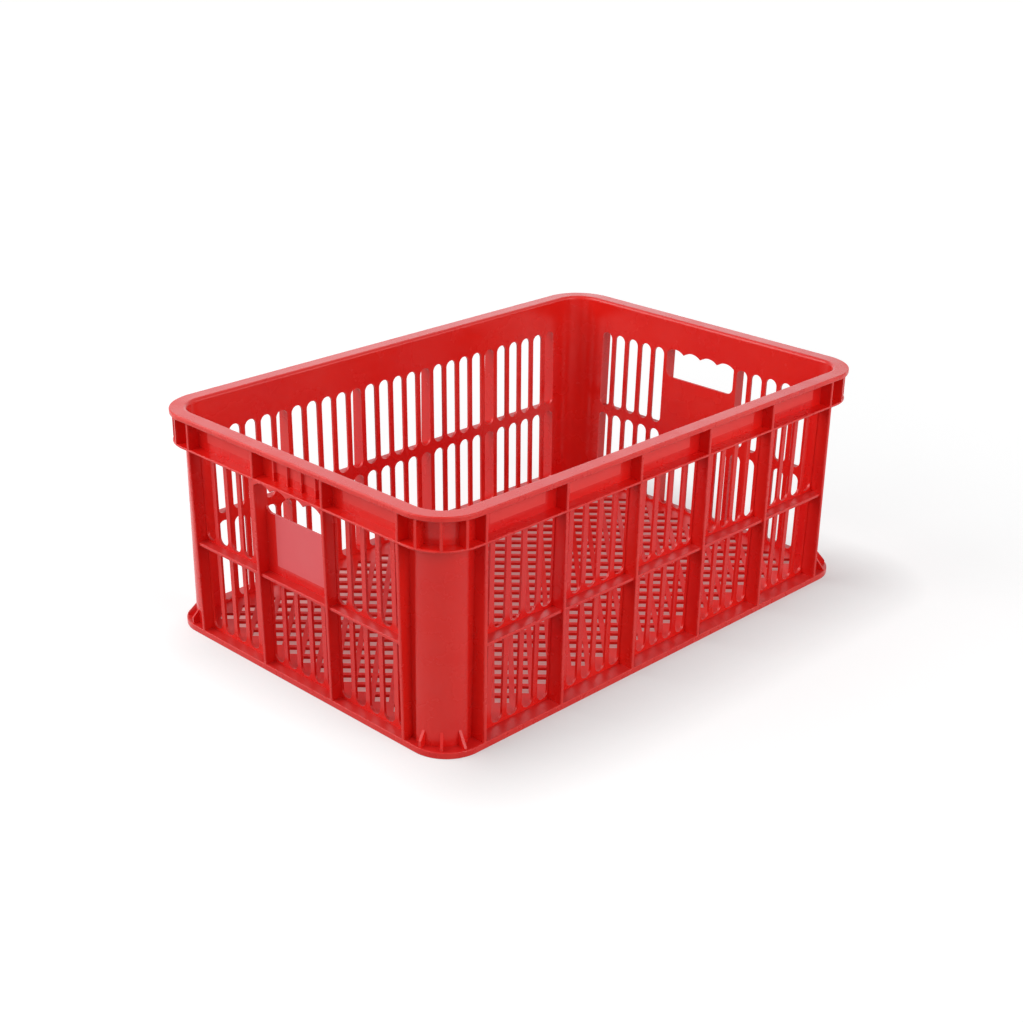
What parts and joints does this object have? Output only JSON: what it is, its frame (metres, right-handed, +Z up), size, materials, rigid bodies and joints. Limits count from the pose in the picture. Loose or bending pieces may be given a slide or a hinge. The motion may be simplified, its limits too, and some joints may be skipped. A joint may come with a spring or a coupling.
{
  "type": "slotted harvest crate",
  "caption": "Open rectangular harvest crate in red plastic, with slotted walls, outer ribs, a flanged rim, rounded corner posts and a scalloped hand hole at each end.",
  "frame": {"origin": "centre of the underside", "axes": "+Z up, X along the long sides, Y along the ends that hold the hand holes"},
  "size_m": [0.6, 0.4, 0.228],
  "materials": {
    "red_plastic": "satin moulded polyethylene"
  },
  "bodies": {
    "root": {"band_back": "red_plastic", "band_front": "red_plastic", "band_left": "red_plastic", "band_right": "red_plastic", "base_back": "red_plastic", "base_front": "red_plastic", "base_left": "red_plastic", "base_right": "red_plastic", "belt_back": "red_plastic", "belt_front": "red_plastic", "belt_left": "red_plastic", "belt_right": "red_plastic", "corner_back_left": "red_plastic", "corner_back_right": "red_plastic", "corner_front_left": "red_plastic", "corner_front_right": "red_plastic", "floor_mesh": "red_plastic", "grip_left": "red_plastic", "grip_right": "red_plastic", "gussets_back": "red_plastic", "gussets_front": "red_plastic", "gussets_left": "red_plastic", "gussets_right": "red_plastic", "handle_panel_left": "red_plastic", "handle_panel_right": "red_plastic", "ledge_back": "red_plastic", "ledge_front": "red_plastic", "ledge_left": "red_plastic", "ledge_right": "red_plastic", "panel_back": "red_plastic", "panel_front": "red_plastic", "panel_left_back": "red_plastic", "panel_left_front": "red_plastic", "panel_right_back": "red_plastic", "panel_right_front": "red_plastic", "ribs_back": "red_plastic", "ribs_front": "red_plastic", "ribs_left": "red_plastic", "ribs_right": "red_plastic", "rim_back": "red_plastic", "rim_front": "red_plastic", "rim_left": "red_plastic", "rim_right": "red_plastic"}
  },
  "joints": []
}
